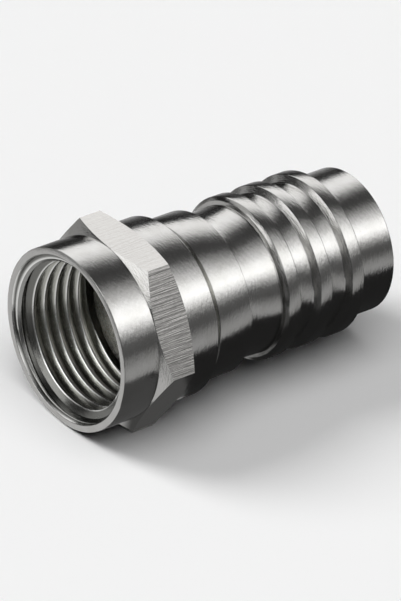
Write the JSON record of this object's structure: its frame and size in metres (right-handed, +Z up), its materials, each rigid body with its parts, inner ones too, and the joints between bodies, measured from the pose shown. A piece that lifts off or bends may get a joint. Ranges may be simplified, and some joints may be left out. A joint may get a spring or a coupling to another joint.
{
  "type": "f connector",
  "caption": "Crimp plug for a coaxial television cable: a hexagonal coupling nut spins on a flanged post, behind it a stepped sleeve with crimping ridges.",
  "frame": {"origin": "centre of the post's flat front face, the plane on which the rim of the mating socket seats", "axes": "+X along the plug's axis from the open nut towards the cable, +Z up, square to the flat of the nut that the plug lies on, +Y completes the right-handed frame"},
  "size_m": [0.0205, 0.0128, 0.011],
  "materials": {
    "nut_nickel": "bright nickel plate over turned brass, milled flats satin",
    "post_nickel": "satin nickel plate over turned brass",
    "sleeve_nickel": "bright nickel plate over brass with fine turning lines"
  },
  "bodies": {
    "cable_end": {"inner_post": "post_nickel", "crimp_sleeve": "sleeve_nickel"},
    "nut": {"coupling_nut": "nut_nickel"}
  },
  "joints": [
    {"name": "nut_spin", "type": "hinge", "parent": "cable_end", "child": "nut", "pos_m": [0, 0, 0], "axis": [1, 0, 0], "continuous": true}
  ]
}
